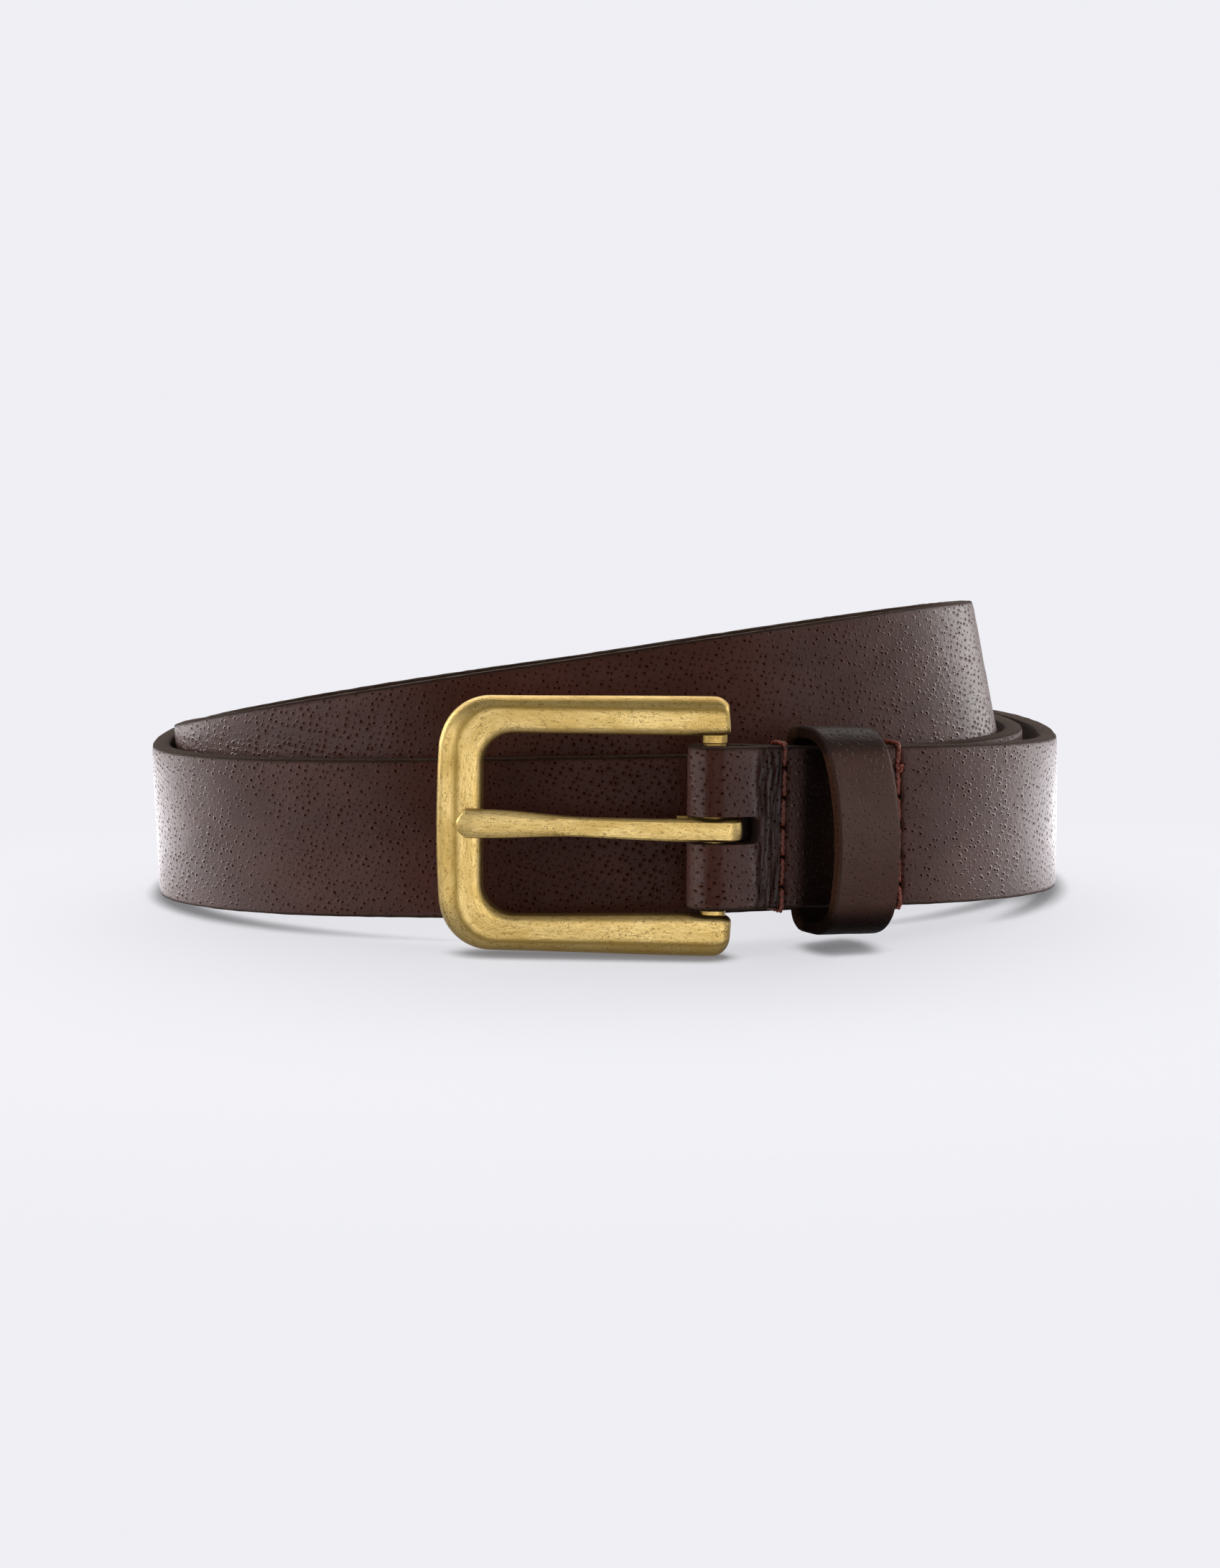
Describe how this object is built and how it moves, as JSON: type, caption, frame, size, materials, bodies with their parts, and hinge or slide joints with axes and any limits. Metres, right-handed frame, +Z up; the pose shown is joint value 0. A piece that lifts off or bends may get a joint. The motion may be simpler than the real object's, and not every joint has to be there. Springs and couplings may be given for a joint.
{
  "type": "leather belt",
  "caption": "Gentleman's dark brown leather belt, coiled on its edge, with a square-cornered brass frame buckle, prong, stitched fold and leather keeper.",
  "frame": {"origin": "under the middle of the coiled belt's bounding box, on the surface that it stands on", "axes": "+Z up, across the strap's width; -Y is the front, where the buckle is; +X to the right seen from the front, along the longest side"},
  "size_m": [0.1804, 0.1153, 0.0582],
  "materials": {
    "belt_leather": "semi-gloss, with fine hair pores",
    "keeper_leather": "semi-gloss, smoother",
    "brass": "aged, with lengthwise rubbing marks",
    "staple_steel": "satin",
    "thread": "waxed"
  },
  "bodies": {
    "strap": {"strap": "belt_leather", "inner_seam_needle_thread": "thread", "inner_seam_bobbin_thread": "thread", "outer_seam_needle_thread": "thread", "outer_seam_bobbin_thread": "thread"},
    "buckle_frame": {"buckle_frame": "brass"},
    "prong": {"prong": "brass"},
    "keeper": {"keeper_loop": "keeper_leather", "keeper_staple": "staple_steel"}
  },
  "joints": [
    {"name": "frame_swing", "type": "hinge", "parent": "strap", "child": "buckle_frame", "pos_m": [0.02005, -0.04867, 0.02388], "axis": [0.0169, 0.1163, 0.9931], "range_deg": [-0.5, 45]},
    {"name": "prong_swing", "type": "hinge", "parent": "buckle_frame", "child": "prong", "pos_m": [0.02005, -0.04867, 0.02388], "axis": [0.0169, 0.1163, 0.9931], "range_deg": [0, 75]},
    {"name": "keeper_slide", "type": "slide", "parent": "strap", "child": "keeper", "axis": [0.9303, 0.3589, -0.075], "range_m": [-0.0002, 0.0042]}
  ]
}
